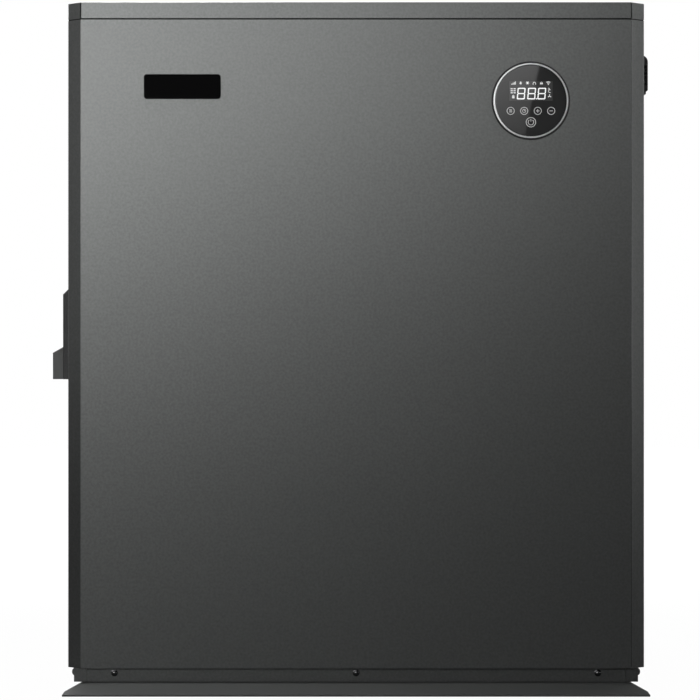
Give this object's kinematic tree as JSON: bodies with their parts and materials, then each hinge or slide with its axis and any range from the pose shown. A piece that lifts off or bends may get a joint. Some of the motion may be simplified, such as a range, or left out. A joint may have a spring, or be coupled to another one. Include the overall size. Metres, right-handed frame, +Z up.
{
  "type": "heat pump unit",
  "caption": "Upright square-plan pool heat pump: flat dark cabinet on floor rails with a round touch display, a fan under a wire guard in its lid, slotted coil guards and rear water unions.",
  "frame": {"origin": "middle of the whole object's outline on the floor that it stands on; the cabinet's own middle is 8 mm towards +X, because the cable hood stands out further than the side vent", "axes": "+Z up; +X to the right as seen from the front; the flat front with the display faces -Y"},
  "size_m": [0.754, 0.852, 0.8823],
  "materials": {
    "charcoal_coat": "fine-grained metallic charcoal powder coat on sheet steel",
    "black_plastic": "satin black plastic",
    "grey_plastic": "satin dark grey plastic",
    "display_glass": "polished black glass",
    "chrome_ring": "bright plated ring",
    "black_paint": "black paint on steel",
    "screw_steel": "glossy black screws",
    "steel": "bare steel",
    "copper": "bare copper",
    "valve_brass": "bare brass",
    "coil_fins": "blue-coated aluminium fins",
    "rubber": "black rubber",
    "white_plastic": "white pipe plastic",
    "circuit_board": "green board"
  },
  "bodies": {
    "cabinet": {"badge_plate": "black_plastic", "base_pan": "charcoal_coat", "base_screw_centre": "screw_steel", "base_screw_left": "screw_steel", "base_screw_right": "screw_steel", "cable_grommet": "rubber", "cable_hood": "grey_plastic", "coil_end_plate": "steel", "coil_gas_pipe": "copper", "coil_header": "copper", "compressor": "black_paint", "compressor_mount_1": "rubber", "compressor_mount_2": "rubber", "compressor_mount_3": "rubber", "condenser_gas_pipe": "copper", "discharge_pipe": "copper", "display_bezel": "chrome_ring", "display_glass": "display_glass", "display_housing": "black_plastic", "drain_spout": "black_plastic", "electrical_box": "steel", "evaporator_coil": "coil_fins", "expansion_valve": "valve_brass", "fan_guard": "black_paint", "fan_shroud": "black_plastic", "flow_switch": "grey_plastic", "four_way_valve": "valve_brass", "front_foot_rail": "charcoal_coat", "front_panel": "charcoal_coat", "heat_exchanger": "black_plastic", "inlet_pipe": "white_plastic", "inlet_tailpiece": "white_plastic", "left_coil_guard": "charcoal_coat", "left_panel": "charcoal_coat", "lid_seal": "rubber", "liquid_pipe": "copper", "lower_bearing": "steel", "main_board": "circuit_board", "motor_bracket": "steel", "motor_end_cap": "steel", "motor_housing": "steel", "motor_stator": "copper", "outlet_pipe": "white_plastic", "outlet_tailpiece": "white_plastic", "rear_coil_guard": "charcoal_coat", "rear_foot_rail": "charcoal_coat", "rear_service_panel": "charcoal_coat", "right_panel": "charcoal_coat", "side_vent": "black_plastic", "suction_pipe": "copper", "terminal_block": "grey_plastic", "top_cover": "charcoal_coat", "upper_bearing": "steel", "wiring_cover": "black_plastic"},
    "fan": {"fan_impeller": "black_plastic", "fan_nut": "steel", "motor_rotor": "steel"},
    "inlet_nut": {"inlet_union_nut": "black_plastic"},
    "outlet_nut": {"outlet_union_nut": "black_plastic"},
    "paddle": {"flow_paddle": "steel"}
  },
  "joints": [
    {"name": "fan_spin", "type": "hinge", "parent": "cabinet", "child": "fan", "pos_m": [0.008, 0, 0.78], "axis": [0, 0, 1], "continuous": true},
    {"name": "inlet_nut_turn", "type": "hinge", "parent": "cabinet", "child": "inlet_nut", "pos_m": [0.213, 0.3665, 0.12], "axis": [0, 1, 0], "continuous": true},
    {"name": "outlet_nut_turn", "type": "hinge", "parent": "cabinet", "child": "outlet_nut", "pos_m": [0.213, 0.3665, 0.4], "axis": [0, 1, 0], "continuous": true},
    {"name": "paddle_swing", "type": "hinge", "parent": "cabinet", "child": "paddle", "pos_m": [0.213, 0.328, 0.138], "axis": [-1, 0, 0], "range_deg": [0, 25], "stiffness_Nm_per_rad": 0.002}
  ]
}
